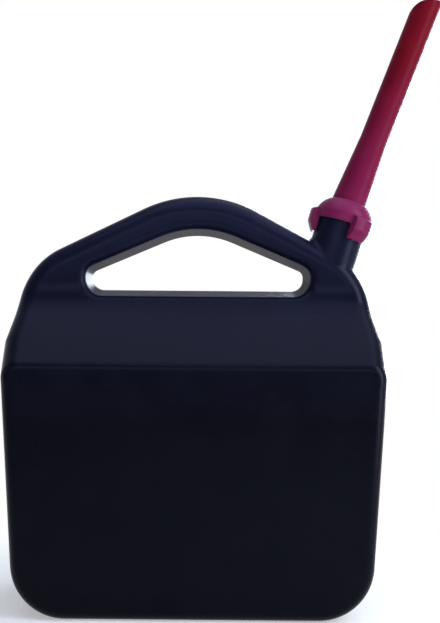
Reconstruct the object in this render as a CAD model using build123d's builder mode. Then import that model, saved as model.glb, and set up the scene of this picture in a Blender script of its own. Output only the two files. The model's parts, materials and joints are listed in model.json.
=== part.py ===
from build123d import *

import os
from math import cos, radians, sin, tan

os.makedirs("parts", exist_ok=True)

# Can: a blown body whose shoulder rises into an arched carrying handle
can_depth = 120.0
base_width = 232.0
wall = 1.8
side_flare = 3.4
shoulder_lean = 10.5
crown_offset = 3.45
corner_radius = 36.0
kink_radius = 12.0
shoulder_radius = 50.0
crown_radius = 86.0
edge_radius = 8.0
handle_edge_radius = 12.0

# Heights, each measured up from the one before: the crease across the front, the foot of the
# slim ridge, the floor of the finger gap, and the points where the slopes of the gap and of
# the handle would meet if they weren't rounded off
crease_height = 164.4
shoulder_rise = 42.6
gap_sill = 7.4
gap_tip_rise = 43.8
handle_tip_rise = 31.9

# The outline's sides turn in above the crease and meet the handle's slopes above the ridge's foot
kink_rise = 12.0
left_shoulder_rise = 24.8
right_shoulder_rise = 23.2

# Side profile: an upright front, a sloping shoulder, and a slim ridge for the handle
ridge_depth = 37.0
hollow_radius = 30.0

# Finger gap, drawn where the two halves of the mould meet inside it
gap_left_margin = 54.95
gap_right_margin = 50.65
gap_left_rise = 12.4
gap_right_rise = 13.15
gap_tip_offset = 2.15
gap_heel_radius = 8.0
gap_nose_radius = 5.0
gap_tip_radius = 61.0
gap_draft = 14.0
gap_edge_radius = 6.0

# Fine ridge left on the outline where the mould halves meet
seam_height = 0.4
seam_width = 1.2

# Neck, leaning out of the right shoulder
neck_inset = 29.6
neck_lean = 17.0
neck_radius = 17.6
neck_bore_radius = 14.8
neck_length = 26.7
neck_root = 12.0
neck_foot_radius = 4.0

# Seal and spout, clamped on the neck's mouth
seal_thickness = 2.0
flange_thickness = 2.4
spout_base_radius = 12.0
spout_radius = 9.5
spout_wall = 1.5
spout_base_length = 8.7
spout_taper_length = 46.0
spout_lean = 21.1
spout_rise = 177.2
spout_tip_radius = 11.0

# Screw collar, with grips that stand proud of its skirt and hang below it
collar_clearance = 1.0
collar_wall = 1.8
collar_skirt = 8.8
collar_hole_clearance = 0.35
collar_seat_clearance = 0.3
collar_dome_rise = 7.3
collar_dome_bulge = 1.4
collar_dome_foot = 2.8
grip_count = 3
grip_width = 13.5
grip_height = 3.6
grip_rise = 4.8
grip_drop = 10.4
grip_bevel = 6.5
grip_foot_wall = 1.5
grip_slope = 1.7
grip_bend_radius = 5.0
grip_top_radius = 1.5
grip_corner_radius = 3.0
grip_overrun = 1.0

# Places worked out from the sizes above
half_base = base_width / 2
kink_height = crease_height + kink_rise
half_kink = half_base + kink_height * tan(radians(side_flare))
half_depth = can_depth / 2
half_ridge = ridge_depth / 2
ridge_height = crease_height + shoulder_rise
gap_floor = ridge_height + gap_sill
gap_tip = gap_floor + gap_tip_rise
handle_tip = gap_tip + handle_tip_rise


def shoulder_corner(rise, side):
    """Corner where a slope of the handle meets the leaning side of the shoulder."""
    height = ridge_height + rise
    return side * (half_kink - tan(radians(shoulder_lean)) * (height - kink_height)), height


# The neck's foot lies on the falling line of the handle, and its axis leans from there
right_shoulder = shoulder_corner(right_shoulder_rise, 1)
right_fall_rate = (handle_tip - right_shoulder[1]) / (right_shoulder[0] - crown_offset)
neck_offset = half_kink - neck_inset
neck_foot = handle_tip - (neck_offset - crown_offset) * right_fall_rate
spout_tip_height = neck_foot + spout_rise
neck_sine = sin(radians(neck_lean))
neck_cosine = cos(radians(neck_lean))
neck_origin = (neck_offset, 0, neck_foot)
neck_outward = (neck_cosine, 0, -neck_sine)
neck_axis = Axis(neck_origin, (neck_sine, 0, neck_cosine))
neck_plane = Plane(origin=neck_origin, x_dir=neck_outward, z_dir=(neck_sine, 0, neck_cosine))
neck_section = Plane(origin=neck_origin, x_dir=neck_outward, z_dir=(0, -1, 0))

# Heights along the neck's axis, measured from its foot
flange_foot = neck_length + seal_thickness
flange_top = flange_foot + flange_thickness
spout_bend = flange_top + spout_base_length
collar_bore_radius = neck_radius + collar_clearance
collar_seat_radius = neck_radius + collar_seat_clearance
collar_radius = collar_bore_radius + collar_wall
collar_hole_radius = spout_base_radius + collar_hole_clearance
collar_foot = flange_top - collar_skirt
collar_shoulder = flange_top - collar_dome_foot
collar_top = flange_top + collar_dome_rise
grip_radius = collar_radius + grip_height
grip_reach = collar_wall + grip_height + grip_overrun
grip_foot = collar_foot - grip_drop
grip_top = collar_foot + grip_rise

# The spout's tube leans further than the neck, from a bend just above the collar
tube_sine = sin(radians(spout_lean))
tube_cosine = cos(radians(spout_lean))
tube_origin = (neck_offset + spout_bend * neck_sine, 0, neck_foot + spout_bend * neck_cosine)
tube_plane = Plane(
    origin=tube_origin,
    x_dir=(tube_cosine, 0, -tube_sine),
    z_dir=(tube_sine, 0, tube_cosine),
)
tube_rise = spout_tip_height - tube_origin[2]
tube_reach = tube_rise / tube_cosine + spout_radius


def front_outline():
    """Corners and radii of the can's outline seen from the front."""
    corners = [
        (-half_base, 0),
        (half_base, 0),
        (half_kink, kink_height),
        right_shoulder,
        (crown_offset, handle_tip),
        shoulder_corner(left_shoulder_rise, -1),
        (-half_kink, kink_height),
    ]
    radii = [
        corner_radius,
        corner_radius,
        kink_radius,
        shoulder_radius,
        crown_radius,
        shoulder_radius,
        kink_radius,
    ]
    return corners, radii


def side_outline():
    """Corners and radii of the can's outline seen from the side."""
    corners = [
        (-half_depth, 0),
        (half_depth, 0),
        (half_depth, crease_height),
        (half_ridge, ridge_height),
        (half_ridge, handle_tip),
        (-half_ridge, handle_tip),
        (-half_ridge, ridge_height),
        (-half_depth, crease_height),
    ]
    radii = [0, 0, 0, hollow_radius, 0, 0, hollow_radius, 0]
    return corners, radii


def gap_outline():
    """Corners and radii of the finger gap where the mould halves meet."""
    left = gap_left_margin - half_kink
    right = half_kink - gap_right_margin
    corners = [
        (left, gap_floor),
        (right, gap_floor),
        (right, gap_floor + gap_right_rise),
        (gap_tip_offset, gap_tip),
        (left, gap_floor + gap_left_rise),
    ]
    radii = [gap_heel_radius, gap_heel_radius, gap_nose_radius, gap_tip_radius, gap_nose_radius]
    return corners, radii


def closed_face(outline, plane, grow):
    """Flat face with rounded corners, made larger or smaller all round."""
    corners, radii = outline
    with BuildSketch(plane) as face:
        with BuildLine():
            FilletPolyline(*corners, radius=radii, close=True)
        make_face()
        if grow:
            offset(amount=grow, kind=Kind.INTERSECTION)
    return face.sketch


def tip_cut_corners():
    """Corners of the region cut from the spout's tip: level on top, rounded towards the handle."""
    lean_rate = tan(radians(spout_lean))
    left_top = tube_origin[0] + tube_rise * lean_rate - spout_radius / tube_cosine
    drop = spout_tip_radius + spout_radius
    left_low = left_top - drop * lean_rate
    left = left_low - drop
    right = left_top + spout_rise
    top = spout_tip_height + drop
    return [
        (left_low, spout_tip_height - drop),
        (left_top, spout_tip_height),
        (right, spout_tip_height),
        (right, top),
        (left, top),
    ]


def can_form(inset):
    """The can's outer form or, with an inset of one wall, the space inside it."""
    front = closed_face(front_outline(), Plane.XZ, -inset)
    side = closed_face(side_outline(), Plane.YZ, -inset)
    gap = closed_face(gap_outline(), Plane.XZ, inset)
    with BuildPart() as form:
        extrude(front, amount=can_depth, both=True)
        extrude(side, amount=base_width, both=True, mode=Mode.INTERSECT)

        # The rims of shoulders and handle first, then the edges of the broad front and back
        rims = form.edges().filter_by(Axis.Y, reverse=True).filter_by(Axis.X, reverse=True)
        high_rims = rims.filter_by_position(Axis.Z, crease_height, handle_tip)
        fillet(high_rims, radius=handle_edge_radius - inset)
        broad_faces = form.faces().sort_by(Axis.Y)
        fillet(broad_faces[0].edges() + broad_faces[-1].edges(), radius=edge_radius - inset)

        # The finger gap widens from the parting line to a rounded mouth on each face
        extrude(gap, amount=ridge_depth, both=True, taper=-gap_draft, mode=Mode.SUBTRACT)
        mouths = form.edges(Select.LAST).filter_by(on_gap_mouth)
        fillet(mouths, radius=gap_edge_radius - inset)
    return form.part


def on_neck_junction(edge):
    """True for a curved edge where the neck runs out into the shoulder."""
    return edge.geom_type not in (GeomType.LINE, GeomType.CIRCLE)


def on_gap_mouth(edge):
    """True for an edge of the finger gap that lies on the front or back of the can."""
    return abs(edge.center().Y) > half_ridge - gap_edge_radius


outer_form = can_form(0)
inner_form = can_form(wall)

# The seam stops at the base, so that the can stands on a flat face
with BuildPart() as seam:
    extrude(closed_face(front_outline(), Plane.XZ, seam_height), amount=seam_width / 2, both=True)
    extrude(
        closed_face(front_outline(), Plane.XZ, -wall / 2),
        amount=seam_width,
        both=True,
        mode=Mode.SUBTRACT,
    )
    split(bisect_by=Plane.XY, keep=Keep.TOP)

with BuildPart() as neck_space:
    with BuildSketch(neck_plane.offset(-neck_root)):
        Circle(neck_bore_radius)
    extrude(amount=neck_root + neck_length)

with BuildPart() as can_body:
    add(outer_form)
    with BuildSketch(neck_plane.offset(-neck_root)):
        Circle(neck_radius)
    extrude(amount=neck_root + neck_length)
    junction = can_body.edges(Select.LAST).filter_by(on_neck_junction)
    fillet(junction, radius=neck_foot_radius)
    add(seam.part)
    add(inner_form, mode=Mode.SUBTRACT)
    add(neck_space.part, mode=Mode.SUBTRACT)


# Seal: a flat ring between the neck's mouth and the spout's flange
with BuildPart() as seal_ring:
    with BuildSketch(neck_plane.offset(neck_length)):
        Circle(neck_radius)
        Circle(neck_bore_radius, mode=Mode.SUBTRACT)
    extrude(amount=seal_thickness)


# Spout: a clamped flange, a short base, a taper that leans over a little, and a straight tube
def tapered_tube(inset):
    """The spout's outer form above its flange or, with an inset of one wall, its bore."""
    with BuildPart() as form:
        with BuildSketch(neck_plane.offset(flange_foot)):
            Circle(spout_base_radius - inset)
        extrude(amount=flange_thickness + spout_base_length)
        with BuildSketch(neck_plane.offset(spout_bend)):
            Circle(spout_base_radius - inset)
        with BuildSketch(tube_plane.offset(spout_taper_length)):
            Circle(spout_radius - inset)
        loft()
        with BuildSketch(tube_plane.offset(spout_taper_length)):
            Circle(spout_radius - inset)
        extrude(amount=tube_reach - spout_taper_length)
    return form.part


spout_form = tapered_tube(0)
spout_bore = tapered_tube(spout_wall)

with BuildPart() as pouring_spout:
    with BuildSketch(neck_plane.offset(flange_foot)):
        Circle(neck_radius)
    extrude(amount=flange_thickness)
    add(spout_form)
    add(spout_bore, mode=Mode.SUBTRACT)
    with BuildSketch(Plane.XZ):
        with BuildLine():
            FilletPolyline(*tip_cut_corners(), radius=[0, spout_tip_radius, 0, 0, 0], close=True)
        make_face()
    extrude(amount=spout_base_radius, both=True, mode=Mode.SUBTRACT)


# Screw collar: a domed ring nut whose three grips hang down beside the neck
with BuildPart() as grips:
    with BuildSketch(neck_plane.offset(grip_foot)):
        with PolarLocations(collar_bore_radius, grip_count, start_angle=180):
            RectangleRounded(2 * grip_reach, grip_width, grip_corner_radius)
    extrude(amount=grip_drop + grip_rise + grip_slope)
    with BuildSketch(neck_section):
        with BuildLine():
            FilletPolyline(
                (collar_bore_radius, grip_foot),
                (collar_bore_radius + grip_foot_wall, grip_foot),
                (grip_radius, grip_foot + grip_bevel),
                (grip_radius, grip_top),
                (collar_radius, grip_top + grip_slope),
                (collar_bore_radius, grip_top + grip_slope),
                radius=[0, 0, grip_bend_radius, grip_top_radius, 0, 0],
                close=True,
            )
        make_face()
    revolve(axis=neck_axis, mode=Mode.INTERSECT)

with BuildPart() as screw_collar:
    with BuildSketch(neck_section):
        with BuildLine():
            Polyline(
                (collar_radius, collar_shoulder),
                (collar_radius, collar_foot),
                (collar_bore_radius, collar_foot),
                (collar_bore_radius, flange_foot),
                (collar_seat_radius, flange_top),
                (collar_hole_radius, flange_top),
                (collar_hole_radius, collar_top),
            )
            SagittaArc(
                (collar_hole_radius, collar_top),
                (collar_radius, collar_shoulder),
                collar_dome_bulge,
            )
        make_face()
    revolve(axis=neck_axis)
    add(grips.part)


can_body.part.label = "can_body"
export_step(can_body.part, "parts/can_body.step")

seal_ring.part.label = "seal_ring"
export_step(seal_ring.part, "parts/seal_ring.step")

pouring_spout.part.label = "pouring_spout"
export_step(pouring_spout.part, "parts/pouring_spout.step")

screw_collar.part.label = "screw_collar"
export_step(screw_collar.part, "parts/screw_collar.step")
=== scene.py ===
import json
import math
from dataclasses import dataclass

import bmesh
import bpy
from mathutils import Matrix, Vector


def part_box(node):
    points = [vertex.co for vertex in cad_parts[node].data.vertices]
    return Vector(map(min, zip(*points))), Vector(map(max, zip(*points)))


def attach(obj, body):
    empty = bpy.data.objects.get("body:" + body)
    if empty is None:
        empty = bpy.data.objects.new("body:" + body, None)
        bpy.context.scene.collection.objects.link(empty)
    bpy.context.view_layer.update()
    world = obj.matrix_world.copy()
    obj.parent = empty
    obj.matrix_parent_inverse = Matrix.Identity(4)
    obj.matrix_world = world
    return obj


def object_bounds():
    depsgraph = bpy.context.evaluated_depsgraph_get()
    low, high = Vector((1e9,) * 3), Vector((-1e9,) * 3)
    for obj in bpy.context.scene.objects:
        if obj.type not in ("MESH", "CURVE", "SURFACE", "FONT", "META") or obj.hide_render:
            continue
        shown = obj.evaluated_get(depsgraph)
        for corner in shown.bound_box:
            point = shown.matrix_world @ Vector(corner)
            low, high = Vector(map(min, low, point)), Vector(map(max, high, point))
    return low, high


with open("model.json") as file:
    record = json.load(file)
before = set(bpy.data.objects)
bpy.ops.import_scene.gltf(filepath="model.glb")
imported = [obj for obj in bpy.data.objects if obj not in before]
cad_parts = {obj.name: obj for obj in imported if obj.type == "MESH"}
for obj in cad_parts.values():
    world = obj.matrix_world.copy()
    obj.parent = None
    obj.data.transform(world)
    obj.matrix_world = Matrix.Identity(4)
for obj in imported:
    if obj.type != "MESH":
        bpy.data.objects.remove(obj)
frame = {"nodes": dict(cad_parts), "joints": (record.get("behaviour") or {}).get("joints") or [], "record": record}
cad_low, cad_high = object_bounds()
nodes = frame["nodes"]
behaviour = frame["record"]["behaviour"]

MM = 0.001
X, Y, Z = range(3)

# The neck's axis and the thread's pitch, as the moving parts use them
lift_joint = next(joint for joint in frame["joints"] if joint["name"] == "spout_lift")
neck_foot = Vector(lift_joint["pos_m"])
neck_axis = Vector(lift_joint["axis"]).normalized()
depth_axis = Vector((0, 1, 0))
neck_side = depth_axis.cross(neck_axis).normalized()
neck_depth = neck_axis.cross(neck_side)
thread_pitch = behaviour["couplings"][0]["ratio"] * math.tau


def on_axis(name):
    """Height along the neck's axis, and distance from it, of each point of a piece."""
    places = []
    for vertex in nodes[name].data.vertices:
        offset = vertex.co - neck_foot
        height = offset.dot(neck_axis)
        places.append((height, (offset - neck_axis * height).length))
    return places


# The seal lies on the neck's mouth, and the collar's bore starts below that mouth
seal_places = on_axis("seal_ring")
neck_mouth = min(height for height, _ in seal_places)
neck_radius = max(radius for _, radius in seal_places)
collar_bore_radius = min(radius for height, radius in on_axis("screw_collar") if height < neck_mouth)


def mesh_object(name, build):
    """Object made of a finished mesh, put into the scene."""
    mesh = bpy.data.meshes.new(name)
    build.to_mesh(mesh)
    build.free()
    made = bpy.data.objects.new(name, mesh)
    bpy.context.scene.collection.objects.link(made)
    return made


# Screw threads, one outside the neck's mouth and one inside the collar's skirt

thread_drop = 3.5 * MM
thread_clearance = 0.3 * MM
thread_sink = 0.15 * MM
thread_runout_height = 2 * thread_sink
thread_root_width = 1.7 * MM
thread_crest_width = 0.9 * MM
thread_steps_per_turn = 72
thread_runout_turns = 0.12
neck_thread_turns = 0.85
collar_thread_turns = 1.45
half_turn = 0.5
quarter_circle = math.tau / 4


def neck_point(height, radius, angle):
    """Place at a height along the neck's axis, a radius from it and an angle round it."""
    outward = neck_side * math.cos(angle) + neck_depth * math.sin(angle)
    return neck_foot + neck_axis * height + outward * radius


def thread_section(root_radius, crest_radius):
    """Corners across the ridge, as heights along the neck's axis and radii from it."""
    return [
        (-thread_root_width / 2, root_radius),
        (-thread_crest_width / 2, crest_radius),
        (thread_crest_width / 2, crest_radius),
        (thread_root_width / 2, root_radius),
    ]


def screw_thread(name, root_radius, crest_radius, first_turn, turns):
    """Helical ridge whose crest runs out nearly to its root at both ends."""
    build = bmesh.new()
    steps = round(turns * thread_steps_per_turn)
    runout_steps = thread_runout_turns * thread_steps_per_turn
    runout_radius = root_radius + math.copysign(thread_runout_height, crest_radius - root_radius)
    rings = []
    for step in range(steps + 1):
        turn = step / thread_steps_per_turn
        angle = math.tau * (first_turn + turn)
        height = neck_mouth - thread_drop + thread_pitch * turn
        steps_from_end = min(step, steps - step)
        rise = math.sin(min(steps_from_end / runout_steps, 1) * quarter_circle)
        section = thread_section(root_radius, runout_radius + (crest_radius - runout_radius) * rise)
        rings.append([build.verts.new(neck_point(height + up, radius, angle)) for up, radius in section])
    for ring, following in zip(rings, rings[1:]):
        for here in range(len(ring)):
            beside = (here + 1) % len(ring)
            build.faces.new((ring[here], ring[beside], following[beside], following[here]))
    build.faces.new(rings[0])
    build.faces.new(reversed(rings[-1]))
    bmesh.ops.recalc_face_normals(build, faces=build.faces)
    return mesh_object(name, build)


neck_thread = screw_thread(
    name="neck_thread",
    root_radius=neck_radius - thread_sink,
    crest_radius=collar_bore_radius - thread_clearance,
    first_turn=0,
    turns=neck_thread_turns,
)
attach(neck_thread, "can")

# Half a turn further round, so that its ridge runs between the turns of the neck's
collar_thread = screw_thread(
    name="collar_thread",
    root_radius=collar_bore_radius + thread_sink,
    crest_radius=neck_radius + thread_clearance,
    first_turn=half_turn,
    turns=collar_thread_turns,
)
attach(collar_thread, "collar")


# Steps that the materials, the floor and the surroundings are made of

# Numbers of the sockets that share a name with others of their node
FIRST, SECOND = 0, 1
MIX_SHARE = 0
NUMBER_A, NUMBER_B = 2, 3
COLOUR_A, COLOUR_B = 6, 7
NUMBER_OUT, COLOUR_OUT = 0, 2


@dataclass(frozen=True)
class Lumps:
    """Kind of noise, whose lumps are about one over its scale across, in metres."""

    scale: float
    detail: float
    roughness: float = 0.5


def add_node(tree, kind, sockets, **settings):
    """Node with settings, and with each socket set to a value or linked to an output."""
    made = tree.nodes.new(kind)
    for name, value in settings.items():
        setattr(made, name, value)
    for key, value in sockets.items():
        if isinstance(value, bpy.types.NodeSocket):
            tree.links.new(value, made.inputs[key])
        else:
            made.inputs[key].default_value = value
    return made


def noise(tree, place, lumps):
    """Value from 0 to 1 that follows a kind of lumps."""
    sockets = {"Vector": place, "Scale": lumps.scale, "Detail": lumps.detail, "Roughness": lumps.roughness}
    return add_node(tree, "ShaderNodeTexNoise", sockets).outputs["Fac"]


def ranged(tree, value, between, levels=(0, 1), kind="LINEAR"):
    """Value moved from one range to another and held inside it."""
    start, end = between
    low, high = levels
    sockets = {"Value": value, "From Min": start, "From Max": end, "To Min": low, "To Max": high}
    made = add_node(tree, "ShaderNodeMapRange", sockets, clamp=True, interpolation_type=kind)
    return made.outputs["Result"]


def mixed(tree, share, first, second):
    """Colour between two others."""
    sockets = {MIX_SHARE: share, COLOUR_A: first, COLOUR_B: second}
    return add_node(tree, "ShaderNodeMix", sockets, data_type="RGBA").outputs[COLOUR_OUT]


def joined(tree, operation, first, second=0):
    """Value made of one or two others by one step of arithmetic."""
    sockets = {FIRST: first, SECOND: second}
    return add_node(tree, "ShaderNodeMath", sockets, operation=operation).outputs["Value"]


def joined_places(tree, operation, first, second=(0, 0, 0)):
    """Node that makes a place or a length of one or two places."""
    sockets = {FIRST: first, SECOND: second}
    return add_node(tree, "ShaderNodeVectorMath", sockets, operation=operation)


def along(tree, place, axis):
    """One of the three parts of a place or a direction."""
    return add_node(tree, "ShaderNodeSeparateXYZ", {"Vector": place}).outputs[axis]


def object_place(tree):
    """Place on the object, which moves with it."""
    return tree.nodes.new("ShaderNodeTexCoord").outputs["Object"]


def send_blend(tree, share, first, second, output):
    """Sends a mix of two shaders to the output, all of the second where the share is one."""
    blend = tree.nodes.new("ShaderNodeMixShader")
    for socket, source in zip(blend.inputs, (share, first, second)):
        tree.links.new(source, socket)
    tree.links.new(blend.outputs["Shader"], output.inputs["Surface"])


def new_material(name, constants):
    """Node material whose shader has some sockets set to values of their own."""
    material = bpy.data.materials.new(name)
    material.use_nodes = True
    tree = material.node_tree
    tree.nodes.clear()
    output = tree.nodes.new("ShaderNodeOutputMaterial")
    shader = tree.nodes.new("ShaderNodeBsdfPrincipled")
    tree.links.new(shader.outputs["BSDF"], output.inputs["Surface"])
    for socket, value in constants.items():
        shader.inputs[socket].default_value = value
    return material, tree, shader, output


def dress(piece, material):
    """Gives a piece one material in all of its slots."""
    piece.data.materials.clear()
    piece.data.materials.append(material)


# Moulded plastic

cloud_lumps = Lumps(scale=38.0, detail=3.0)
cloud_range = (0.35, 0.7)
cloud_tone = 0.5
cloud_gloss_range = (0.3, 0.75)
speck_lumps = Lumps(scale=420.0, detail=4.0, roughness=0.7)
speck_range = (0.55, 0.8)
speck_tone = 0.3

# Rubbed streaks, long one way and narrow the other
streak_lumps = Lumps(scale=60.0, detail=5.0, roughness=0.75)
streak_turn = (0.3, 0.2, 0.5)
streak_stretch = (0.25, 1.0, 1.6)
streak_range = (0.62, 0.8)
streak_tone = 0.35
streak_dulling = 0.08

# The line is full out to the first distance from its plane and gone at the second
mould_line_edges = (0.4 * MM, 0.9 * MM)
mould_line_tone = 0.4

wave_lumps = Lumps(scale=14.0, detail=1.0)
wave_height = 1.0 * MM
wave_strength = 0.3
grain_detail = 2.0
grain_roughness = 0.6
grain_height = 0.05 * MM
grain_strength = 0.5
edge_samples = 6

specular_tint = (0.70, 0.74, 1.0, 1)
sheen_roughness = 0.35
sheen_tint = (0.8, 0.85, 1.0, 1)


@dataclass(frozen=True)
class Tones:
    """Deep colour of a plastic, and the paler one of its clouds, specks and worn places."""

    deep: tuple
    pale: tuple


@dataclass(frozen=True)
class Fade:
    """Tones that a piece turns to between two shares of its height, from its foot upwards."""

    piece: str
    shares: tuple
    upper: Tones


@dataclass(frozen=True)
class Finish:
    """Colour, grain and gloss of one moulded piece."""

    tones: Tones
    grain_scale: float
    roughness: tuple
    specular: float
    edge_radius: float
    sheen: float = 0.0
    fade: Fade = None


def scuffs(tree, place):
    """One in a few faint rubbed streaks, and nothing between them."""
    sockets = {"Vector": place, "Rotation": streak_turn, "Scale": streak_stretch}
    turned = add_node(tree, "ShaderNodeMapping", sockets).outputs["Vector"]
    return ranged(tree, noise(tree, turned, streak_lumps), streak_range)


def mould_line(tree, place):
    """One along the plane where the mould's halves meet, and nothing beside it."""
    aside = joined(tree, "ABSOLUTE", along(tree, place, "Y"))
    return ranged(tree, aside, mould_line_edges, (1, 0))


def risen(tree, place, piece, shares):
    """Value that goes from 0 to 1 between two shares of a piece's height."""
    low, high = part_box(piece)
    heights = [low[Z] + (high[Z] - low[Z]) * share for share in shares]
    return ranged(tree, along(tree, place, "Z"), heights)


def faded(tree, place, finish):
    """Deep and pale colours of a finish, as they are at each height of its piece."""
    lower = finish.tones
    fade = finish.fade
    if fade is None:
        return lower.deep, lower.pale
    share = risen(tree, place, fade.piece, fade.shares)
    deep = mixed(tree, share, lower.deep, fade.upper.deep)
    pale = mixed(tree, share, lower.pale, fade.upper.pale)
    return deep, pale


def plastic_colour(tree, place, clouds, rubbed, finish):
    """Deep colour that turns pale in clouds, specks, streaks and along the mould line."""
    cloudy = ranged(tree, clouds, cloud_range, (0, cloud_tone))
    speckled = ranged(tree, noise(tree, place, speck_lumps), speck_range, (0, speck_tone))
    streaked = joined(tree, "MULTIPLY", rubbed, streak_tone)
    lined = joined(tree, "MULTIPLY", mould_line(tree, place), mould_line_tone)
    patchy = joined(tree, "ADD", cloudy, speckled)
    worn = joined(tree, "ADD", streaked, lined)
    deep, pale = faded(tree, place, finish)
    return mixed(tree, joined(tree, "ADD", patchy, worn), deep, pale)


def plastic_roughness(tree, clouds, rubbed, finish):
    """Roughness that follows the clouds, and is a little higher in the streaks."""
    uneven = ranged(tree, clouds, cloud_gloss_range, finish.roughness)
    dulling = joined(tree, "MULTIPLY", rubbed, streak_dulling)
    return joined(tree, "ADD", uneven, dulling)


def bumped(tree, height, distance, strength, under):
    """Normal for a surface raised by a height from 0 to 1, laid over an earlier one."""
    sockets = {"Height": height, "Distance": distance, "Strength": strength, "Normal": under}
    return add_node(tree, "ShaderNodeBump", sockets).outputs["Normal"]


def plastic_normal(tree, place, finish):
    """Normal with softened edges, slow waves over them and fine grain on top."""
    grain_lumps = Lumps(scale=finish.grain_scale, detail=grain_detail, roughness=grain_roughness)
    waves = noise(tree, place, wave_lumps)
    grain = noise(tree, place, grain_lumps)
    softened = add_node(tree, "ShaderNodeBevel", {"Radius": finish.edge_radius}, samples=edge_samples)
    waved = bumped(tree, waves, wave_height, wave_strength, softened.outputs["Normal"])
    return bumped(tree, grain, grain_height, grain_strength, waved)


def moulded_plastic(name, finish):
    """Plastic with fine mould grain, slow waves, uneven gloss, a mould line and faint scuffs."""
    constants = {
        "Specular IOR Level": finish.specular,
        "Specular Tint": specular_tint,
        "Sheen Weight": finish.sheen,
        "Sheen Roughness": sheen_roughness,
        "Sheen Tint": sheen_tint,
    }
    material, tree, shader, _ = new_material(name, constants)
    place = object_place(tree)
    clouds = noise(tree, place, cloud_lumps)
    rubbed = scuffs(tree, place)
    tree.links.new(plastic_colour(tree, place, clouds, rubbed, finish), shader.inputs["Base Color"])
    tree.links.new(plastic_roughness(tree, clouds, rubbed, finish), shader.inputs["Roughness"])
    tree.links.new(plastic_normal(tree, place, finish), shader.inputs["Normal"])
    return material


# The can's near-black, with painted light on its upper part: painted bluer and lighter towards the handle, for the
# sky light that falls on the shoulder and handle
black_plastic = moulded_plastic(
    "black_polyethylene",
    Finish(
        tones=Tones(deep=(0.0009, 0.0009, 0.0018, 1), pale=(0.0024, 0.0024, 0.0054, 1)),
        # Painted light: these upper tones stand in for sky light on the shoulder and handle, not a second colour
        # of the plastic
        fade=Fade(
            piece="can_body",
            shares=(0.45, 0.95),
            upper=Tones(deep=(0.0056, 0.0058, 0.0185, 1), pale=(0.0085, 0.0088, 0.0260, 1)),
        ),
        grain_scale=2400.0,
        roughness=(0.24, 0.34),
        specular=0.10,
        edge_radius=1.2 * MM,
        sheen=0.02,
    ),
)

# The spout's red, pinker at the foot and pure crimson in its upper part
crimson_plastic = moulded_plastic(
    "crimson_polyethylene",
    Finish(
        tones=Tones(deep=(0.150, 0.0060, 0.042, 1), pale=(0.200, 0.0140, 0.066, 1)),
        fade=Fade(
            piece="pouring_spout",
            shares=(0.0, 0.75),
            upper=Tones(deep=(0.128, 0.0010, 0.0060, 1), pale=(0.166, 0.0030, 0.0125, 1)),
        ),
        grain_scale=2600.0,
        roughness=(0.34, 0.46),
        specular=0.06,
        edge_radius=0.5 * MM,
        sheen=0.14,
    ),
)

# The collar's pinker red
collar_plastic = moulded_plastic(
    "crimson_collar",
    Finish(
        tones=Tones(deep=(0.158, 0.0065, 0.050, 1), pale=(0.220, 0.0160, 0.080, 1)),
        grain_scale=2200.0,
        roughness=(0.32, 0.44),
        specular=0.14,
        edge_radius=0.8 * MM,
        sheen=0.10,
    ),
)

# The seal's dull rubber
seal_rubber = moulded_plastic(
    "black_rubber",
    Finish(
        tones=Tones(deep=(0.012, 0.012, 0.012, 1), pale=(0.022, 0.022, 0.021, 1)),
        grain_scale=3000.0,
        roughness=(0.6, 0.75),
        specular=0.3,
        edge_radius=0.2 * MM,
    ),
)

dress(nodes["can_body"], black_plastic)
dress(neck_thread, black_plastic)
dress(nodes["pouring_spout"], crimson_plastic)
dress(nodes["screw_collar"], collar_plastic)
dress(collar_thread, collar_plastic)
dress(nodes["seal_ring"], seal_rubber)


# Floor

white = (1, 1, 1, 1)
plain_level = 1.0

floor_radius = 9.0
floor_sides = 96
sheet_constants = {"Roughness": 0.85, "Specular IOR Level": 0.15}
sheet_lumps = Lumps(scale=220.0, detail=3.0)
sheet_range = (0.3, 0.7)
sheet_deep = (0.91, 0.91, 0.905, 1)
sheet_pale = (0.94, 0.94, 0.935, 1)

# Distances from the can's foot over which the backdrop takes the floor over, and its shares there
shadow_reach = (0.0, 0.16)
backdrop_shares = (0.35, 1.0)
# Places along Y between which the floor starts to show white in reflections
mirrored_floor_range = (-0.3, 0.0)


def background_rays(tree, behind):
    """One for the rays that look at the backdrop, and as much as is behind for mirrored ones."""
    path = tree.nodes.new("ShaderNodeLightPath")
    turned = joined(tree, "MAXIMUM", path.outputs["Is Glossy Ray"], path.outputs["Is Transmission Ray"])
    mirrored = joined(tree, "MULTIPLY", turned, behind)
    return joined(tree, "MAXIMUM", path.outputs["Is Camera Ray"], mirrored)


def beside_can(tree, place):
    """Distance from a place on the floor to the can's foot."""
    low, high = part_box("can_body")
    reach = ((high[X] - low[X]) / 2, (high[Y] - low[Y]) / 2, 0)
    spread = joined_places(tree, "ABSOLUTE", place).outputs["Vector"]
    past = joined_places(tree, "SUBTRACT", spread, reach).outputs["Vector"]
    outside = joined_places(tree, "MAXIMUM", past).outputs["Vector"]
    return joined_places(tree, "LENGTH", outside).outputs["Value"]


def white_sheet():
    """Pale paper near the can, which turns into the plain backdrop around it."""
    material, tree, shader, output = new_material("white_sheet", sheet_constants)
    place = object_place(tree)
    tone = ranged(tree, noise(tree, place, sheet_lumps), sheet_range)
    tree.links.new(mixed(tree, tone, sheet_deep, sheet_pale), shader.inputs["Base Color"])
    glow = add_node(tree, "ShaderNodeEmission", {"Color": white, "Strength": plain_level})
    fade = ranged(tree, beside_can(tree, place), shadow_reach, backdrop_shares, "SMOOTHSTEP")
    behind = ranged(tree, along(tree, place, "Y"), mirrored_floor_range)
    share = joined(tree, "MULTIPLY", fade, background_rays(tree, behind))
    send_blend(tree, share, shader.outputs["BSDF"], glow.outputs["Emission"], output)
    return material


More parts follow.
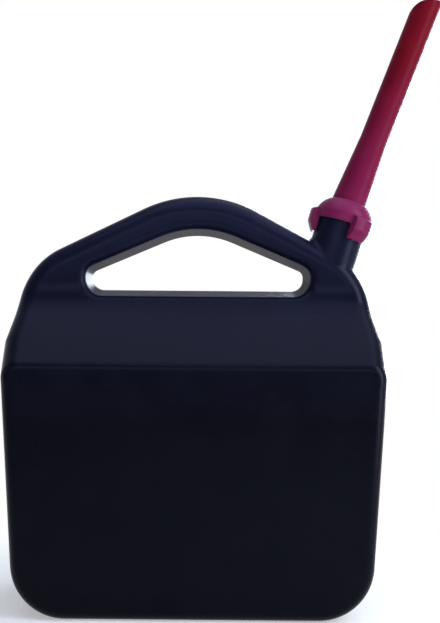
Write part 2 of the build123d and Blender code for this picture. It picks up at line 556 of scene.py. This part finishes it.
def pale_floor():
    """Level sheet under the can, which keeps its soft shadow."""
    build = bmesh.new()
    bmesh.ops.create_circle(build, cap_ends=True, segments=floor_sides, radius=floor_radius)
    floor = mesh_object("floor", build)
    dress(floor, white_sheet())


pale_floor()


# Surroundings, with ranges of a direction's parts, each from minus one to one

room_colour = (0.76, 0.82, 1.0, 1)
behind_range = (-0.2, 0.6)
behind_level = 0.8
backdrop_top_range = (0.03, 0.2)
backdrop_fall = (1.0, 0.2)
window_foot_range = (0.02, 0.16)
window_levels = (0.05, 0.55)
window_top_range = (0.3, 0.5)
window_fall = (1.0, 0.4)


def studio_world():
    """White backdrop to look at, and for the light a room that is dimmer in front than behind."""
    world = bpy.data.worlds.new("studio")
    bpy.context.scene.world = world
    world.use_nodes = True
    tree = world.node_tree
    tree.nodes.clear()
    output = tree.nodes.new("ShaderNodeOutputWorld")
    direction = tree.nodes.new("ShaderNodeTexCoord").outputs["Generated"]
    upward = along(tree, direction, "Z")
    low = ranged(tree, upward, backdrop_top_range, backdrop_fall)
    behind = joined(tree, "MULTIPLY", ranged(tree, along(tree, direction, "Y"), behind_range), low)
    window = ranged(tree, upward, window_foot_range, window_levels)
    front = joined(tree, "MULTIPLY", window, ranged(tree, upward, window_top_range, window_fall))
    levels = {MIX_SHARE: behind, NUMBER_A: front, NUMBER_B: behind_level}
    level = add_node(tree, "ShaderNodeMix", levels, data_type="FLOAT").outputs[NUMBER_OUT]
    room = add_node(tree, "ShaderNodeBackground", {"Color": room_colour, "Strength": level})
    plain = add_node(tree, "ShaderNodeBackground", {"Color": white, "Strength": plain_level})
    rays = background_rays(tree, behind)
    send_blend(tree, rays, room.outputs["Background"], plain.outputs["Background"], output)


studio_world()


# Lamps


@dataclass(frozen=True)
class Lamp:
    """Soft rectangular lamp, with its place and its two sides in metres and its power in watts."""

    name: str
    place: tuple
    sides: tuple
    power: float
    tint: tuple


lamps = [
    Lamp("top_light", place=(0.2, -0.2, 1.35), sides=(1.7, 1.3), power=12.0, tint=(0.70, 0.78, 1.0)),
    Lamp("right_light", place=(1.0, -0.55, 0.55), sides=(0.45, 1.2), power=13.0, tint=(0.86, 0.91, 1.0)),
    Lamp("back_right_light", place=(0.65, 1.25, 0.35), sides=(0.9, 0.8), power=32.0, tint=(0.82, 0.89, 1.0)),
    Lamp("front_light", place=(0.0, -1.3, 0.6), sides=(1.3, 0.4), power=3.0, tint=(0.80, 0.86, 1.0)),
]


def soft_light(lamp):
    """Lamp that faces the middle of the object and isn't seen itself."""
    light = bpy.data.lights.new(lamp.name, "AREA")
    light.shape = "RECTANGLE"
    light.size, light.size_y = lamp.sides
    light.energy = lamp.power
    light.color = lamp.tint
    stand = bpy.data.objects.new(lamp.name, light)
    bpy.context.scene.collection.objects.link(stand)
    stand.location = lamp.place
    aim = (cad_low + cad_high) / 2 - Vector(lamp.place)
    stand.rotation_euler = aim.to_track_quat("-Z", "Y").to_euler()
    stand.visible_camera = False


for lamp in lamps:
    soft_light(lamp)


# Camera, level and square on to the broad front

camera_distance = 0.650
camera_height = 0.194
camera_tilt = math.radians(90)
camera_roll = math.radians(0.5)

# The picture's size, the lens's focal length, and the point that its axis meets, all in pixels
image_width = 440
image_height = 623
focal_pixels = 923
axis_column = 194.4
axis_row = 319.8

lens = bpy.data.cameras.new("camera")
lens.lens = lens.sensor_width * focal_pixels / image_height
lens.shift_x = (image_width / 2 - axis_column) / image_height
lens.shift_y = (axis_row - image_height / 2) / image_height
camera = bpy.data.objects.new("camera", lens)
bpy.context.scene.collection.objects.link(camera)
camera.location = (0, -camera_distance, camera_height)
camera.rotation_euler = (camera_tilt, -camera_roll, 0)
bpy.context.scene.camera = camera

bpy.context.scene.view_settings.view_transform = "Standard"
